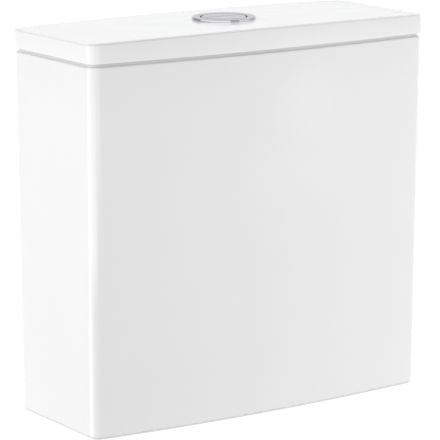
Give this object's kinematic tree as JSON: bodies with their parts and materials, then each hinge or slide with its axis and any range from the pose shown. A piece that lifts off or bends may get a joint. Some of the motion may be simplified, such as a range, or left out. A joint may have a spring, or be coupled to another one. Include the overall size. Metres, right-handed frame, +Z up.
{
  "type": "toilet cistern",
  "caption": "Close-coupled toilet cistern: a bowed, slightly tapering glazed tank with a lift-off lid, a chrome twin flush button, a drop flush valve and a float-operated inlet valve.",
  "frame": {"origin": "middle of the plan box, on the plane that the tank's rim stands on", "axes": "+X along the width, to the right when facing the front; -Y out of the front; +Z up"},
  "size_m": [0.37, 0.144, 0.3669],
  "materials": {
    "china": "smooth white glaze",
    "chrome": "bright chrome plating",
    "white_plastic": "moulded white plastic",
    "pale_plastic": "moulded pale grey plastic",
    "grey_plastic": "moulded grey plastic",
    "blue_plastic": "moulded blue plastic",
    "dark_blue_plastic": "moulded dark blue plastic",
    "black_rubber": "matt black rubber",
    "red_silicone": "matt red silicone",
    "steel": "drawn stainless steel"
  },
  "bodies": {
    "cistern": {"tank": "china", "flush_valve_base": "white_plastic", "flush_valve_washer": "black_rubber", "flush_valve_backnut": "grey_plastic", "pan_gasket": "black_rubber", "valve_tower": "pale_plastic", "left_rail": "pale_plastic", "right_rail": "pale_plastic", "valve_head": "blue_plastic", "full_lever_pin": "steel", "half_lever_pin": "steel", "inlet_stem": "white_plastic", "inlet_washer": "black_rubber", "inlet_backnut": "grey_plastic", "inlet_filter": "blue_plastic", "height_lock_nut": "blue_plastic", "height_sleeve": "pale_plastic", "inlet_valve_body": "white_plastic", "inlet_diaphragm": "black_rubber", "inlet_valve_cap": "blue_plastic", "float_lever_pin": "steel", "discharge_tube": "white_plastic"},
    "lid": {"lid": "china", "bezel_washer": "black_rubber", "button_bezel": "chrome", "button_guide": "grey_plastic", "button_nut": "white_plastic", "full_button_spring": "steel", "half_button_spring": "steel"},
    "full_button": {"full_button": "chrome", "full_plunger": "white_plastic"},
    "half_button": {"half_button": "chrome", "half_plunger": "white_plastic"},
    "full_rod": {"full_push_rod": "white_plastic", "full_rod_cap": "dark_blue_plastic"},
    "half_rod": {"half_push_rod": "white_plastic", "half_rod_cap": "blue_plastic"},
    "full_lever": {"full_lever": "dark_blue_plastic"},
    "half_lever": {"half_lever": "blue_plastic"},
    "flush_tube": {"overflow_tube": "pale_plastic", "seal_carrier": "grey_plastic", "flush_seal": "red_silicone", "seal_retainer": "grey_plastic", "lift_collar": "dark_blue_plastic", "full_float": "white_plastic"},
    "half_sleeve": {"half_sleeve": "blue_plastic", "half_float": "white_plastic"},
    "fill_float": {"float_cup": "white_plastic", "float_rod": "steel", "float_rod_clip": "blue_plastic"},
    "float_lever": {"float_lever": "dark_blue_plastic"},
    "pilot_pin": {"pilot_pin": "steel"}
  },
  "joints": [
    {"name": "lid_lift", "type": "slide", "parent": "cistern", "child": "lid", "axis": [0, 0, 1], "range_m": [0, 0.15]},
    {"name": "full_press", "type": "slide", "parent": "lid", "child": "full_button", "axis": [0, 0, -1], "range_m": [0, 0.006], "stiffness_N_per_m": 800, "springref_m": -0.005, "deforming": ["full_button_spring"]},
    {"name": "half_press", "type": "slide", "parent": "lid", "child": "half_button", "axis": [0, 0, -1], "range_m": [0, 0.006], "stiffness_N_per_m": 800, "springref_m": -0.005, "deforming": ["half_button_spring"]},
    {"name": "full_rod_slide", "type": "slide", "parent": "cistern", "child": "full_rod", "axis": [0, 0, -1], "range_m": [0, 0.0061]},
    {"name": "half_rod_slide", "type": "slide", "parent": "cistern", "child": "half_rod", "axis": [0, 0, -1], "range_m": [0, 0.0061]},
    {"name": "full_lever_tilt", "type": "hinge", "parent": "cistern", "child": "full_lever", "pos_m": [-0.005, 0.0095, 0.2901], "axis": [1, 0, 0], "range_deg": [0, 19.6]},
    {"name": "half_lever_tilt", "type": "hinge", "parent": "cistern", "child": "half_lever", "pos_m": [0.005, -0.0045, 0.2901], "axis": [-1, 0, 0], "range_deg": [0, 19.6]},
    {"name": "tube_lift", "type": "slide", "parent": "cistern", "child": "flush_tube", "axis": [0, 0, 1], "range_m": [0, 0.0081]},
    {"name": "half_sleeve_lift", "type": "slide", "parent": "cistern", "child": "half_sleeve", "axis": [0, 0, 1], "range_m": [0, 0.0081]},
    {"name": "float_rise", "type": "slide", "parent": "cistern", "child": "fill_float", "axis": [0, 0, 1], "range_m": [0, 0.014]},
    {"name": "float_lever_tilt", "type": "hinge", "parent": "cistern", "child": "float_lever", "pos_m": [-0.125, 0.008, 0.2688], "axis": [0, -1, 0], "range_deg": [0, 21.4]},
    {"name": "pilot_pin_slide", "type": "slide", "parent": "cistern", "child": "pilot_pin", "axis": [0, 0, -1], "range_m": [0, 0.0038]}
  ],
  "couplings": [
    {"joint": "full_rod_slide", "follows": "full_press", "ratio": 1},
    {"joint": "full_lever_tilt", "follows": "full_press", "rad_per_m": 56.639},
    {"joint": "tube_lift", "follows": "full_press", "ratio": 1.3333},
    {"joint": "half_rod_slide", "follows": "half_press", "ratio": 1},
    {"joint": "half_lever_tilt", "follows": "half_press", "rad_per_m": 56.639},
    {"joint": "half_sleeve_lift", "follows": "half_press", "ratio": 1.3333},
    {"joint": "float_lever_tilt", "follows": "float_rise", "rad_per_m": 26.467},
    {"joint": "pilot_pin_slide", "follows": "float_rise", "ratio": 0.26316}
  ]
}
